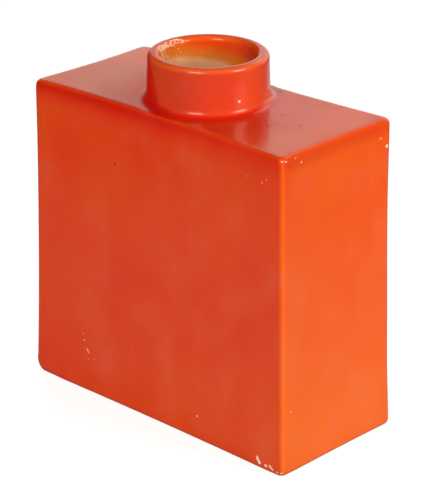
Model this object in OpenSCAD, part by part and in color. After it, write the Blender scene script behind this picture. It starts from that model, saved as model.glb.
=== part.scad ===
// Slab vase: a glazed block of slip-cast earthenware with a short round neck centred on its shoulder.
// Millimetres, +Z up. The vase stands on z = 0, centred on the Z axis, with a broad face towards -Y.

/* [Body] */
// Width of the broad faces at the foot
body_width = 171; // [130:1:230]
// Depth from one broad face to the other at the foot
body_depth = 80; // [76:0.5:130]
// Height of the flat shoulder above the table
body_height = 158; // [80:1:240]
// How far each end wall leans in between foot and shoulder
end_draft = 3.8; // [0:0.1:6]
// How far each broad wall leans in between foot and shoulder
broad_draft = 1.5; // [0:0.1:3]
// How far the walls draw in at mid height
waist = 0.5; // [0:0.1:1.5]
// Hollow across the middle of a broad wall, measured at the shoulder
broad_dish = 2.7; // [0:0.1:4]
// Hollow across the middle of an end wall, measured at the shoulder
end_dish = 1.1; // [0:0.1:2]

/* [Edges] */
// Radius of the four upright edges
corner_radius = 3.8; // [3.5:0.1:10]
// Radius of the edge round the shoulder
shoulder_radius = 2.2; // [0.5:0.1:3]
// Radius of the edge round the foot
foot_radius = 3; // [0.5:0.1:3]

/* [Neck] */
// Outside diameter of the neck at its rim
neck_diameter = 57.8; // [40:0.1:60]
// Height of the rim above the shoulder
neck_height = 23.2; // [14:0.1:60]
// How much the neck widens on the radius from its rim down to its root
neck_flare = 0.6; // [0:0.1:1.5]
// Radius of the cove between the neck and the shoulder, cut off where it reaches the shoulder's edge
cove_radius = 4; // [1:0.1:9]
// Radius of the rim's outer and inner edges
lip_radius = 1.8; // [0.5:0.1:2]
// Thickness of the neck's wall, which leaves the mouth its diameter
neck_wall = 6; // [4:0.1:8]

/* [Casting] */
// Thickness of the body's cast wall
wall = 5; // [4:0.1:7]
// Thickness of the floor above the table
floor_thickness = 7; // [4:0.1:12]
// Radius of the edges inside, where the slip builds up
inner_radius = 5; // [3:0.5:12]
// Radius of the throat, where the ceiling inside turns up into the mouth
throat_radius = 2.5; // [1:0.1:6]
// Width of the foot rim that the vase stands on
foot_rim = 9; // [6:0.5:16]
// Depth of the hollow inside the foot rim
foot_hollow = 1.2; // [0.4:0.1:2.5]

/* [Hidden] */
$fn = 96;
glaze_orange = [0.80, 0.20, 0.07];

// Share of a wall's hollow that is left at the foot
foot_dish = 0.35;
// Flats along a broad wall, along an end wall, round an edge and up the height
broad_steps = 12;
end_steps = 6;
edge_steps = 5;
rise_steps = 8;
// Overlap where one shape runs into another, in a slow curve and in a straight run
sink = 0.1;
reach = 2;

rim_z = body_height + neck_height;
shoulder_flat = half_depth(body_height) - broad_dish - shoulder_radius;
neck_radius = min(neck_diameter / 2, shoulder_flat - neck_flare - lip_radius);
root_radius = neck_radius + neck_flare;
cove = min(cove_radius, neck_height / 2);
mouth_radius = neck_radius - neck_wall;
ceiling_z = body_height - wall;
// Radius of the upright edges inside, which stays above that of the floor's edge
inner_corner = inner_radius + 1;

// Draw-in of the upright walls, none at the foot or the shoulder and full at mid height
function draw_in(z) = 4 * waist * (z / body_height) * (1 - z / body_height);

// Half the width and half the depth of the body at a height, measured at its upright edges
function half_width(z) = body_width / 2 - end_draft * z / body_height - draw_in(z);
function half_depth(z) = body_depth / 2 - broad_draft * z / body_height - draw_in(z);

// Share of a wall's hollow at a height
function dish_share(z) = foot_dish + (1 - foot_dish) * z / body_height;

// A point turned about the Z axis by a number of quarter turns
function quarter(p, turns) = turns == 0 ? p : quarter([-p.y, p.x], turns - 1);

// One wall of the outline, facing +X, with the rounded edge that follows it
function wall_run(across, along, corner, dish, steps) = concat(
    [for (i = [0:steps]) let (t = 2 * i / steps - 1) [across - dish * (1 - t * t), t * (along - corner)]],
    [for (i = [1:edge_steps - 1]) let (a = 90 * i / edge_steps)
        [across - corner + corner * cos(a), along - corner + corner * sin(a)]]
);

// Outline of the body at a height, moved in from the outer face by an inset
function outline(z, inset, corner) = let (
    x = half_width(z) - inset,
    y = half_depth(z) - inset,
    ends = wall_run(x, y, corner, end_dish * dish_share(z), end_steps),
    broads = wall_run(y, x, corner, broad_dish * dish_share(z), broad_steps)
) [for (turns = [0:3]) each [for (p = turns % 2 == 0 ? ends : broads) quarter(p, turns)]];

// Height and inset of each ring of a hollow or solid block with rounded bottom and top edges
function levels(low, high, low_radius, high_radius) = concat(
    [for (i = [0:edge_steps]) let (a = 90 * i / edge_steps)
        [low + low_radius * (1 - cos(a)), low_radius * (1 - sin(a))]],
    [for (i = [1:rise_steps - 1])
        [low + low_radius + (high - high_radius - low - low_radius) * i / rise_steps, 0]],
    [for (i = [0:edge_steps]) let (a = 90 * i / edge_steps)
        [high - high_radius * (1 - sin(a)), high_radius * (1 - cos(a))]]
);

// Quarter circle from one angle to another about a centre, as points of a turned profile
function arc(centre, radius, from, to) = [for (i = [0:edge_steps])
    let (a = from + (to - from) * i / edge_steps) centre + radius * [cos(a), sin(a)]];

// Skin through a stack of rings, each with as many points, closed by a flat floor and a flat lid
module loft(rings) {
    count = len(rings[0]);
    last = len(rings) - 1;
    floor_point = count * (last + 1);
    skin = [for (j = [0:last - 1], i = [0:count - 1]) let (
        a = j * count + i,
        b = j * count + (i + 1) % count
    ) each [[a, a + count, b + count], [a, b + count, b]]];
    floor_fan = [for (i = [0:count - 1]) [floor_point, i, (i + 1) % count]];
    lid_fan = [for (i = [0:count - 1]) [floor_point + 1, last * count + (i + 1) % count, last * count + i]];
    middles = [[0, 0, rings[0][0].z], [0, 0, rings[last][0].z]];
    polyhedron(concat([for (ring = rings) each ring], middles), concat(skin, floor_fan, lid_fan));
}

// Block that follows the body's walls at an inset, between two heights
module block(low, high, low_radius, high_radius, inset, corner) {
    loft([for (level = levels(low, high, low_radius, high_radius))
        [for (p = outline(level[0], inset + level[1], corner - level[1])) [p.x, p.y, level[0]]]]);
}

// Neck turned from its profile: the cove, the flared wall and the rounded lip
module turned_neck() {
    cove_centre = [root_radius + cove, body_height + cove - sink];
    lip_centre = [neck_radius - lip_radius, rim_z - lip_radius];
    rotate_extrude()
        polygon(concat(
            [[0, body_height - reach], [root_radius + cove, body_height - reach]],
            arc(cove_centre, cove, 270, 180),
            arc(lip_centre, lip_radius, 0, 90),
            [[0, rim_z]]
        ));
}

// Neck with its cove trimmed to the flat of the shoulder, which a wide cove would overrun
module neck() {
    intersection() {
        turned_neck();
        translate([0, 0, body_height - 2 * reach])
            linear_extrude(neck_height + 3 * reach)
                polygon(outline(body_height, shoulder_radius + sink, corner_radius));
    }
}

// Mouth turned from its profile: the throat, a straight bore and the rounded lip it opens over
module mouth() {
    throat_centre = [mouth_radius + throat_radius, ceiling_z + throat_radius - sink];
    lip_centre = [mouth_radius + lip_radius, rim_z - lip_radius];
    rotate_extrude()
        polygon(concat(
            [[0, ceiling_z - reach], [mouth_radius + throat_radius, ceiling_z - reach]],
            arc(throat_centre, throat_radius, 270, 180),
            arc(lip_centre, lip_radius, 180, 90),
            [[mouth_radius + lip_radius, rim_z + reach], [0, rim_z + reach]]
        ));
}

// Space that the drained slip leaves inside the walls
module hollow() {
    block(floor_thickness, ceiling_z, inner_radius, inner_radius, wall, inner_corner);
}

// Shallow recess under the floor, which leaves a rim to stand on
module foot_recess() {
    translate([0, 0, -reach])
        linear_extrude(foot_hollow + reach)
            polygon(outline(0, foot_rim, corner_radius));
}

// The vase, one fired piece
module vase() {
    color(glaze_orange)
        difference() {
            union() {
                block(0, body_height, foot_radius, shoulder_radius, 0, corner_radius);
                neck();
            }
            hollow();
            mouth();
            foot_recess();
        }
}

vase();
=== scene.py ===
"""Slab vase: an orange glazed block of slip-cast earthenware with a short round neck.

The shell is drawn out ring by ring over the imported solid, worn where the glaze has chipped,
dressed in one fired finish, and set on a pale floor under soft studio light.
"""

import logging
import math
from collections.abc import Iterator, Mapping, Sequence
from dataclasses import dataclass, field
from enum import Enum
from functools import reduce
from operator import mul, or_
from typing import Any

import bmesh
import bpy
from mathutils import Matrix, Vector, noise
from mathutils.bvhtree import BVHTree


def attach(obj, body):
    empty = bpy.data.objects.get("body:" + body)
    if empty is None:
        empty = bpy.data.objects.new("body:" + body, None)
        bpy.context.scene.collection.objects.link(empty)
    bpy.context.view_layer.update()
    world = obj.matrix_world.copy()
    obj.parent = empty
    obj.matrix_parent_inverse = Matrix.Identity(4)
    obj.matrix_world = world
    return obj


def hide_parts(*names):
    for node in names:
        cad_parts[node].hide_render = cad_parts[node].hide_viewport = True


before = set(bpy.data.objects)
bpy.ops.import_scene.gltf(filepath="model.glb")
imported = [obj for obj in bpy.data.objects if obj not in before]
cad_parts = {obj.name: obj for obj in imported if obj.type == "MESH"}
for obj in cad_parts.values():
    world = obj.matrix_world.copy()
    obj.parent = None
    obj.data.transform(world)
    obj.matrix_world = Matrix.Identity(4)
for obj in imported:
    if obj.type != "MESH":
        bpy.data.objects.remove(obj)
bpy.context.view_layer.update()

LOG = logging.getLogger("slab_vase")
MM = 0.001
QUARTER = math.pi / 2
RIGHT_ANGLE = 90.0
HALF_TURN = 180.0
FULL_TURN = 360.0
TINY = 1e-6

Colour = tuple[float, float, float]
Span = tuple[float, float]

SHOULDER_HEIGHT = 158.0
CAST_WALL = 5.0
WHITE: Colour = (1.0, 1.0, 1.0)
WARM: Colour = (1.0, 0.95, 0.80)


class Layer(Enum):
    """Attributes of the shell's vertices that the finish reads."""

    EDGE = "edge"
    BARE = "bare"
    CHIP = "chip"


class Wall(Enum):
    """Walls of the body, by the quarter turns that bring the +X end to each."""

    RIGHT_END = 0
    BACK = 1
    LEFT_END = 2
    FRONT = 3

    @property
    def broad(self) -> bool:
        """Return whether it is a broad wall."""
        return self in (Wall.FRONT, Wall.BACK)


class MarkKind(Enum):
    """Small blemishes in the glaze: a pale pinhole down to the clay, or a dark pit."""

    PINHOLE = "pinhole"
    PIT = "pit"


def smooth(value: float, low: float, high: float) -> float:
    """Ease a value from 0 at the low end to 1 at the high end, which may lie below it."""
    share = min(1.0, max(0.0, (value - low) / (high - low)))
    return share * share * (3.0 - 2.0 * share)


def steps(count: int) -> Iterator[float]:
    """Yield even shares of a run, without its start and with its end."""
    return (index / count for index in range(1, count + 1))


@dataclass(frozen=True)
class Outline:
    """Plan of the body at any height, in millimetres: tapered, drawn in and dished walls.

    Attributes:
        width: Width of the broad walls at the foot.
        depth: Depth between the broad walls at the foot.
        height: Height of the shoulder.
        end_draft: Lean of an end wall between foot and shoulder.
        broad_draft: Lean of a broad wall between foot and shoulder.
        waist: Draw-in of all walls at mid height.
        broad_dish: Hollow across a broad wall at the shoulder.
        end_dish: Hollow across an end wall at the shoulder.
        foot_dish: Share of the hollows left at the foot.
        corner: Radius of the upright edges.
        crisp_corner: Radius of the upright edge between the front and the right end.
        turned_corner: Radius of the upright edges where they turn in under the foot and over the shoulder.
        broad_columns: Mesh columns along a broad wall.
        end_columns: Mesh columns along an end wall.
        corner_columns: Mesh columns round an upright edge.
        fine_from: Share of the front wall's half width from which its columns close up.
        fine_columns: Mesh columns on that stretch of the front wall.
    """

    width: float = 171.0
    depth: float = 80.0
    height: float = SHOULDER_HEIGHT
    end_draft: float = 3.8
    broad_draft: float = 1.5
    waist: float = 0.5
    broad_dish: float = 2.7
    end_dish: float = 1.1
    foot_dish: float = 0.35
    corner: float = 3.8
    crisp_corner: float = 2.4
    turned_corner: float = 3.2
    broad_columns: int = 92
    end_columns: int = 44
    corner_columns: int = 12
    fine_from: float = 0.80
    fine_columns: int = 44

    def draw_in(self, z: float) -> float:
        """Return how far the walls draw in at a height."""
        share = z / self.height
        return 4.0 * self.waist * share * (1.0 - share)

    def half_width(self, z: float) -> float:
        """Return half the width at a height."""
        return self.width / 2 - self.end_draft * z / self.height - self.draw_in(z)

    def half_depth(self, z: float) -> float:
        """Return half the depth at a height."""
        return self.depth / 2 - self.broad_draft * z / self.height - self.draw_in(z)

    def dish_share(self, z: float) -> float:
        """Return the share of a wall's full hollow at a height."""
        return self.foot_dish + (1.0 - self.foot_dish) * z / self.height

    def stations(self, wall: Wall) -> list[float]:
        """Return the columns along a wall from -1 to 1, even in angle round the neck.

        Args:
            wall: The wall to divide.

        Returns:
            The columns' places, both ends included.
        """
        count = self.broad_columns if wall.broad else self.end_columns
        ratio = self.width / self.depth if wall.broad else self.depth / self.width
        spread = math.atan(ratio)
        places = [math.tan(spread * (2.0 * i / count - 1.0)) / ratio for i in range(count + 1)]
        if wall is Wall.FRONT:
            gap = (1.0 - self.fine_from) / self.fine_columns
            fine = [self.fine_from + gap * i for i in range(self.fine_columns + 1)]
            places = [place for place in places if place < self.fine_from - gap] + fine
        return places

    def rows(self) -> list[tuple[Wall, float, bool]]:
        """Return every column of a ring.

        Returns:
            Each column's wall, its place on it and whether it rounds the edge after.
        """
        found = []
        for wall in Wall:
            found += [(wall, place, False) for place in self.stations(wall)]
            found += [(wall, QUARTER * share, True) for share in list(steps(self.corner_columns))[:-1]]
        return found

    def ring(self, z: float, inset: float, corner: float, crisp: float | None = None) -> list[Vector]:
        """Return the plan at a height, moved in from the outer face.

        Args:
            z: Height of the plan.
            inset: Distance in from the outer face.
            corner: Radius of the upright edges at that inset.
            crisp: Radius of the crisper edge there, where it differs.

        Returns:
            One point a column, counter-clockwise from the right end's front edge.
        """
        x, y, share = self.half_width(z) - inset, self.half_depth(z) - inset, self.dish_share(z)
        after = {wall: crisp if crisp and wall is Wall.FRONT else corner for wall in Wall}
        before = {Wall((wall.value + 1) % len(Wall)): radius for wall, radius in after.items()}
        points = []
        for wall, place, rounded in self.rows():
            if wall.broad:
                across, along, dish = y, x, self.broad_dish * share
            else:
                across, along, dish = x, y, self.end_dish * share
            radius = before[wall] if place < 0.0 else after[wall]
            if rounded:
                centre = (across - radius, along - radius)
                point = (centre[0] + radius * math.cos(place), centre[1] + radius * math.sin(place))
            else:
                point = (across - dish * (1.0 - place * place), place * (along - radius))
            for _ in range(wall.value):
                point = (-point[1], point[0])
            points.append(Vector((*point, z)))
        return points

    def shell(self, z: float, inset: float = 0.0) -> list[Vector]:
        """Return the plan of the outer face, moved in where it turns over an edge.

        Args:
            z: Height of the plan.
            inset: Distance in from the outer face.

        Returns:
            One point a column.
        """
        turned = min(1.0, inset / self.turned_corner)
        radii = (self.corner, self.crisp_corner)
        corner, crisp = (radius + (self.turned_corner - radius) * turned for radius in radii)
        return self.ring(z, inset, corner, crisp)

    def edge_shares(self) -> list[float]:
        """Return how far round an upright edge each column lies, 1 at the edge's middle."""
        return [math.sin(2.0 * place) if rounded else 0.0 for _, place, rounded in self.rows()]


class Skin:
    """A shell drawn out ring by ring from one circle of vertices, in millimetres."""

    def __init__(self, points: Sequence[Vector]) -> None:
        """Start the shell with its first ring.

        Args:
            points: Places of the first ring's vertices.
        """
        self.mesh = bmesh.new()
        self.layers = {layer: self.mesh.verts.layers.float.new(layer.value) for layer in Layer}
        made = bmesh.ops.create_circle(self.mesh, cap_ends=False, segments=len(points), radius=1.0)
        self.verts = list(made["verts"])
        self.edges = list(self.mesh.edges)
        self._place(points, None, 1.0)

    def _place(self, points: Sequence[Vector], edge: Sequence[float] | None, bare: float) -> None:
        """Put the newest ring in its place and mark its glaze.

        Args:
            points: Places of the vertices.
            edge: How far each vertex lies on a rounded edge, none where the ring lies on no edge.
            bare: Share of the ring that is bare clay.
        """
        for index, (vert, point) in enumerate(zip(self.verts, points)):
            vert.co = point
            vert[self.layers[Layer.EDGE]] = edge[index] if edge else 0.0
            vert[self.layers[Layer.BARE]] = bare

    def draw(self, points: Sequence[Vector], edge: Sequence[float] | None = None,
             bare: float = 0.0) -> None:
        """Extrude the open ring and put the new one in its place.

        Args:
            points: Places of the new ring's vertices.
            edge: How far each vertex lies on a rounded edge.
            bare: Share of the ring that is bare clay.
        """
        geometry = bmesh.ops.extrude_edge_only(self.mesh, edges=self.edges)["geom"]
        fresh = {item for item in geometry if isinstance(item, bmesh.types.BMVert)}
        around = [[link.other_vert(vert) for link in vert.link_edges] for vert in self.verts]
        self.verts = [next(vert for vert in others if vert in fresh) for others in around]
        drawn = [item for item in geometry if isinstance(item, bmesh.types.BMEdge)]
        self.edges = [item for item in drawn if fresh.issuperset(item.verts)]
        self._place(points, edge, bare)

    def turn(self, rays: Sequence[Vector], radius: float, z: float, edge: float = 0.0,
             bare: float = 0.0) -> None:
        """Draw a round ring about the Z axis.

        Args:
            rays: Direction of each column from the axis.
            radius: Radius of the ring.
            z: Height of the ring.
            edge: How far the ring lies on a rounded edge.
            bare: Share of the ring that is bare clay.
        """
        self.draw([ray * radius + Vector((0.0, 0.0, z)) for ray in rays], [edge] * len(rays), bare)

    def close(self) -> None:
        """Draw the newest ring together in its middle."""
        middle = sum((vert.co for vert in self.verts), Vector()) / len(self.verts)
        bmesh.ops.pointmerge(self.mesh, verts=self.verts, merge_co=middle)


@dataclass(frozen=True)
class SoftCorner:
    """A corner of the foot that was sponged rounder than the edges beside it.

    Attributes:
        side: End of the front wall that it lies at, -1 for the left and 1 for the right.
        rise: Height of the foot's rounding there.
        reach: Distance from the corner at which the edge is itself again.
        core: Share of that distance up to which it is softest.
    """

    side: float
    rise: float
    reach: float
    core: float = 0.1

    def share(self, point: Vector, outline: Outline) -> float:
        """Return how much of the softening a point of the foot's edge has, 0 to 1."""
        corner = Vector((self.side * outline.width / 2, -outline.depth / 2))
        return smooth((point.to_2d() - corner).length, self.reach, self.core * self.reach)


@dataclass(frozen=True)
class Foot:
    """Underside of the vase: a shallow hollow inside the rim that it stands on.

    Attributes:
        rim: Width of the rim.
        hollow: Depth of the hollow.
        radius: Radius of the outer edge.
        inner_edge: Radius of the rim's inner edge.
        rings: Rings round the outer edge.
        first_share: Share of the hollow's plan that its first ring takes.
        hollow_shares: Shares that the rings after it take.
        edge_shares: Shares of the turn at the rings round the rim's inner edge.
        glaze_start: Heights over which the glaze begins.
        corners: Softened corners.
    """

    rim: float = 9.0
    hollow: float = 1.2
    radius: float = 3.0
    inner_edge: float = 0.5
    rings: int = 14
    first_share: float = 0.04
    hollow_shares: tuple[float, ...] = (0.3, 0.55, 0.8, 0.96)
    edge_shares: tuple[float, ...] = (0.0, 0.35, 0.7, 1.0)
    glaze_start: Span = (0.05, 0.5)
    corners: tuple[SoftCorner, ...] = (SoftCorner(-1.0, 8.0, 20.0), SoftCorner(1.0, 4.4, 12.0))

    def rises(self, outline: Outline) -> list[float]:
        """Return the height of the foot's rounding at each column."""
        return [self.radius + sum((soft.rise - self.radius) * soft.share(point, outline)
                                  for soft in self.corners) for point in outline.shell(0.0)]

    def start(self, outline: Outline) -> Skin:
        """Return a new shell, begun in the middle of the hollow and closed there.

        Args:
            outline: Plan of the body.

        Returns:
            The shell, open at the hollow's first ring.
        """
        middle = [point * self.first_share for point in outline.ring(0.0, self.rim, outline.corner)]
        for point in middle:
            point.z = self.hollow
        skin = Skin(middle)
        first = list(skin.verts)
        skin.draw([Vector((point.x * 2, point.y * 2, self.hollow)) for point in middle], bare=1.0)
        bmesh.ops.pointmerge(skin.mesh, verts=first, merge_co=(0.0, 0.0, self.hollow))
        return skin

    def draw(self, skin: Skin, outline: Outline) -> None:
        """Draw the hollow, the rim and the rounded outer edge.

        Args:
            skin: The shell to go on with.
            outline: Plan of the body.
        """
        wall = outline.ring(0.0, self.rim, outline.corner)
        for share in self.hollow_shares:
            skin.draw([Vector((point.x * share, point.y * share, self.hollow)) for point in wall], bare=1.0)
        for point in wall:
            point.z = self.hollow
        skin.draw(wall, bare=1.0)
        for share in self.edge_shares:
            turn = QUARTER * share
            inset = self.rim - self.inner_edge * (1.0 - math.cos(turn))
            ring = outline.ring(0.0, inset, outline.corner)
            for point in ring:
                point.z = self.inner_edge * (1.0 - math.sin(turn))
            skin.draw(ring, bare=1.0)
        skin.draw(outline.shell(0.0, (self.rim + self.radius) / 2), bare=1.0)
        rises, corners = self.rises(outline), outline.edge_shares()
        for index in range(self.rings + 1):
            turn = QUARTER * index / self.rings
            drop = 1.0 - math.cos(turn)
            ring = outline.shell(self.radius * drop, self.radius * (1.0 - math.sin(turn)))
            for point, rise in zip(ring, rises):
                point.z = rise * drop
            glazed = smooth(self.radius * drop, *self.glaze_start)
            skin.draw(ring, [corner * math.sin(turn) for corner in corners], 1.0 - glazed)


@dataclass(frozen=True)
class Walls:
    """Upright walls and the soft edge round the shoulder.

    Attributes:
        shoulder_reach: How far the shoulder's rounding reaches from its edge, half way along.
        shoulder_change: How much further it reaches at the left end, and less at the right.
        shoulder_power: Power of the rounding's curve, 2 for a circle and more for a squarer edge.
        ripple: Depth of the slow unevenness of the cast faces.
        ripple_length: Length of that unevenness.
        calm: Distance from the foot and from the shoulder over which it fades.
        low_rings: Closely set rings just over the foot.
        low_height: Height of those rings.
        rings: Rings up the rest of the walls.
        edge_rings: Rings round the shoulder's edge.
    """

    shoulder_reach: float = 5.6
    shoulder_change: float = 0.8
    shoulder_power: float = 4.4
    ripple: float = 0.22
    ripple_length: float = 46.0
    calm: float = 25.0
    low_rings: int = 12
    low_height: float = 9.0
    rings: int = 42
    edge_rings: int = 18

    def _reaches(self, face: Sequence[Vector], outline: Outline, clear: float) -> list[float]:
        """Return how far the shoulder's rounding reaches at each column.

        Args:
            face: The outer face at the shoulder, one point a column.
            outline: Plan of the body.
            clear: Radius about the axis that the rounding stays out of.

        Returns:
            The distance in from the face, one a column.
        """
        found = []
        for point in face:
            reach = self.shoulder_reach - self.shoulder_change * 2.0 * point.x / outline.width
            if abs(point.x) < clear:
                reach = min(reach, abs(point.y) - math.sqrt(clear ** 2 - point.x ** 2))
            found.append(reach)
        return found

    def draw(self, skin: Skin, outline: Outline, foot: Foot, clear: float) -> list[Vector]:
        """Draw the walls and the shoulder's edge.

        Args:
            skin: The shell to go on with.
            outline: Plan of the body.
            foot: The foot that the walls rise from.
            clear: Radius about the axis that the shoulder's edge stays out of.

        Returns:
            The last ring on the shoulder, one point a column.
        """
        softest = self.shoulder_reach + self.shoulder_change
        top, corners = outline.height - softest, outline.edge_shares()
        rises = foot.rises(outline)
        for share in steps(self.low_rings):
            ring = outline.shell(foot.radius + (self.low_height - foot.radius) * share)
            for point, rise in zip(ring, rises):
                point.z = rise + (self.low_height - rise) * share
            skin.draw(ring, corners)
        for share in steps(self.rings):
            z = self.low_height + (top - self.low_height) * share
            calm = smooth(z - self.low_height, 0.0, self.calm) * smooth(top - z, 0.0, self.calm)
            ring = []
            for outer, inner in zip(outline.shell(z), outline.shell(z, 1.0)):
                depth = self.ripple * calm * (0.5 + 0.5 * noise.noise(outer / self.ripple_length))
                ring.append(outer.lerp(inner, depth))
            skin.draw(ring, corners)
        face, rim = outline.shell(outline.height), outline.shell(outline.height, softest)
        reaches = self._reaches(face, outline, clear)
        for share in steps(self.edge_rings):
            waves = (math.sin(QUARTER * share), math.cos(QUARTER * share))
            rise, inset = (1.0 - wave ** (2.0 / self.shoulder_power) for wave in waves)
            ring = []
            for outer, inner, reach in zip(face, rim, reaches):
                point = outer.lerp(inner, reach / softest * inset)
                point.z = outline.height - reach * rise
                ring.append(point)
            skin.draw(ring, [corner * (1.0 - inset) for corner in corners])
        return ring


@dataclass(frozen=True)
class Neck:
    """Short round neck: its cove, flared wall, rounded lip and bore.

    Attributes:
        base: Height of the shoulder that it stands on.
        radius: Outside radius at the rim.
        height: Height of the rim above the shoulder, a hair under the solid's.
        flare: Growth of the radius from the rim down to the root.
        cove: Radius of the cove at the root.
        lip: Radius of the rim's outer and inner edges.
        wall: Thickness of the neck's wall.
        roof: Thickness of the shoulder that it stands on.
        throat: Radius where the ceiling inside turns up into the bore.
        cove_rings: Rings over the shoulder and up the cove.
        wall_rings: Rings up the neck's wall.
        lip_rings: Rings round each edge of the lip.
        rim_rings: Rings across the rim.
        bore_rings: Rings down the bore.
        throat_rings: Rings round the throat.
        crowding: How strongly the shoulder's rings close up towards the cove.
        bore_crowding: How strongly the bore's rings close up towards the lip.
    """

    base: float = SHOULDER_HEIGHT
    radius: float = 28.9
    height: float = 23.199
    flare: float = 0.6
    cove: float = 4.0
    lip: float = 2.7
    wall: float = 6.0
    roof: float = CAST_WALL
    throat: float = 2.5
    cove_rings: int = 36
    wall_rings: int = 12
    lip_rings: int = 9
    rim_rings: int = 3
    bore_rings: int = 26
    throat_rings: int = 6
    crowding: float = 2.2
    bore_crowding: float = 1.35

    @property
    def rim(self) -> float:
        """Return the height of the rim."""
        return self.base + self.height

    @property
    def root(self) -> float:
        """Return the neck's radius at the top of its cove."""
        return self.radius + self.flare

    @property
    def bore(self) -> float:
        """Return the radius of the bore."""
        return self.radius - self.wall

    @property
    def ceiling(self) -> float:
        """Return the height of the ceiling inside."""
        return self.base - self.roof

    def draw(self, skin: Skin, rim: Sequence[Vector]) -> list[Vector]:
        """Draw the shoulder, the cove, the neck's wall, its lip and its bore.

        Args:
            skin: The shell to go on with.
            rim: The last ring on the shoulder, one point a column.

        Returns:
            Direction of each column from the axis.
        """
        rays = [Vector((point.x, point.y, 0.0)).normalized() for point in rim]
        flats = [max(0.0, point.to_2d().length - self.root - self.cove) for point in rim]
        for share in steps(self.cove_rings):
            run = 1.0 - (1.0 - share) ** self.crowding
            ring = []
            for ray, flat in zip(rays, flats):
                along = run * (flat + self.cove * QUARTER)
                turn = max(0.0, along - flat) / self.cove
                radius = self.root + self.cove * (1.0 - math.sin(turn)) + max(0.0, flat - along)
                z = self.base + self.cove * (1.0 - math.cos(turn))
                ring.append(ray * radius + Vector((0.0, 0.0, z)))
            skin.draw(ring)
        low, high = self.base + self.cove, self.rim - self.lip
        for share in steps(self.wall_rings):
            skin.turn(rays, self.root - self.flare * share, low + (high - low) * share)
        for share in steps(self.lip_rings):
            turn = QUARTER * share
            radius, z = self.radius - self.lip * (1.0 - math.cos(turn)), high + self.lip * math.sin(turn)
            skin.turn(rays, radius, z, math.sin(2.0 * turn))
        outer, inner = self.radius - self.lip, self.bore + self.lip
        for share in steps(self.rim_rings):
            skin.turn(rays, outer + (inner - outer) * share, self.rim)
        for share in steps(self.lip_rings):
            turn = QUARTER * share
            radius, z = inner - self.lip * math.sin(turn), self.rim - self.lip * (1.0 - math.cos(turn))
            skin.turn(rays, radius, z, math.sin(2.0 * turn))
        foot = self.ceiling + self.throat
        for share in steps(self.bore_rings):
            skin.turn(rays, self.bore, high + (foot - high) * share ** self.bore_crowding)
        for share in steps(self.throat_rings):
            turn = QUARTER * share
            radius = self.bore + self.throat * (1.0 - math.cos(turn))
            skin.turn(rays, radius, foot - self.throat * math.sin(turn), bare=1.0)
        return rays


@dataclass(frozen=True)
class Hollow:
    """Space that the drained slip leaves inside the walls.

    Attributes:
        wall: Thickness of the body's walls.
        floor: Height of the floor inside.
        radius: Radius of the edges inside.
        corner: Radius of the upright edges inside.
        rings: Rings down the walls.
        edge_rings: Rings round the edges.
        ceiling_rings: Rings over the ceiling.
        clear: Least width of the ceiling round the throat.
        floor_shares: Shares of the floor's plan that its rings take.
    """

    wall: float = CAST_WALL
    floor: float = 7.0
    radius: float = 5.0
    corner: float = 6.0
    rings: int = 12
    edge_rings: int = 6
    ceiling_rings: int = 5
    clear: float = 0.2
    floor_shares: tuple[float, ...] = (0.75, 0.5, 0.25, 0.06)

    def draw(self, skin: Skin, outline: Outline, neck: Neck, rays: Sequence[Vector]) -> None:
        """Draw the ceiling, the walls and the floor inside, and close the shell there.

        Args:
            skin: The shell to go on with.
            outline: Plan of the body.
            neck: The neck, whose throat opens into the ceiling.
            rays: Direction of each column from the axis.
        """
        throat = neck.bore + neck.throat
        top = neck.ceiling
        turns = [QUARTER * share for share in steps(self.edge_rings)]
        levels = [(top - self.radius * (1.0 - math.cos(turn)), self.radius * (1.0 - math.sin(turn)))
                  for turn in turns]
        low = self.floor + self.radius
        high = top - self.radius
        levels += [(high + (low - high) * share, 0.0) for share in steps(self.rings)]
        levels += [(low - self.radius * math.sin(turn), self.radius * (1.0 - math.cos(turn)))
                   for turn in turns]
        edge = outline.ring(top, self.wall + self.radius, self.corner - self.radius)
        for share in steps(self.ceiling_rings):
            ring = []
            for ray, point in zip(rays, edge):
                width = max(self.clear, point.to_2d().length - throat)
                ring.append(ray * (throat + width * share) + Vector((0.0, 0.0, top)))
            skin.draw(ring, bare=1.0)
        for z, inset in levels:
            ring = outline.ring(z, self.wall + inset, self.corner - inset)
            for point in ring:
                reach = point.to_2d().length
                if z > high and reach < throat + self.clear:
                    point.xy = point.to_2d() * ((throat + self.clear) / reach)
            skin.draw(ring, bare=1.0)
        last = [vert.co.copy() for vert in skin.verts]
        for share in self.floor_shares:
            skin.draw([Vector((point.x * share, point.y * share, point.z)) for point in last], bare=1.0)
        skin.close()


@dataclass(frozen=True)
class Chip:
    """A flake lost from an edge, in millimetres: a short groove with a ragged border.

    Attributes:
        start: One end of the groove.
        end: Its other end.
        radius: Half its width.
        depth: How deep it reaches.
        rag: How ragged its border is, as a share of its width.
        rag_length: Length of that raggedness.
        side: Shares of the way in over which its side falls to its floor.
        border: Shares of the way in over which its bare clay begins.
    """

    start: tuple[float, float, float]
    end: tuple[float, float, float]
    radius: float
    depth: float
    rag: float = 0.45
    rag_length: float = 1.0 / 1.3
    side: Span = (0.0, 0.45)
    border: Span = (-0.08, 0.16)

    def share(self, point: Vector) -> float:
        """Return how far inside the chip a point lies, 1 at its middle and 0 at its border.

        Args:
            point: The point, in millimetres.

        Returns:
            The share, below 0 outside.
        """
        start, along = Vector(self.start), Vector(self.end) - Vector(self.start)
        place = min(1.0, max(0.0, (point - start).dot(along) / max(along.length_squared, TINY)))
        ragged = self.radius * (1.0 + self.rag * noise.noise(point / self.rag_length))
        return 1.0 - (point - start - along * place).length / ragged


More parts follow.
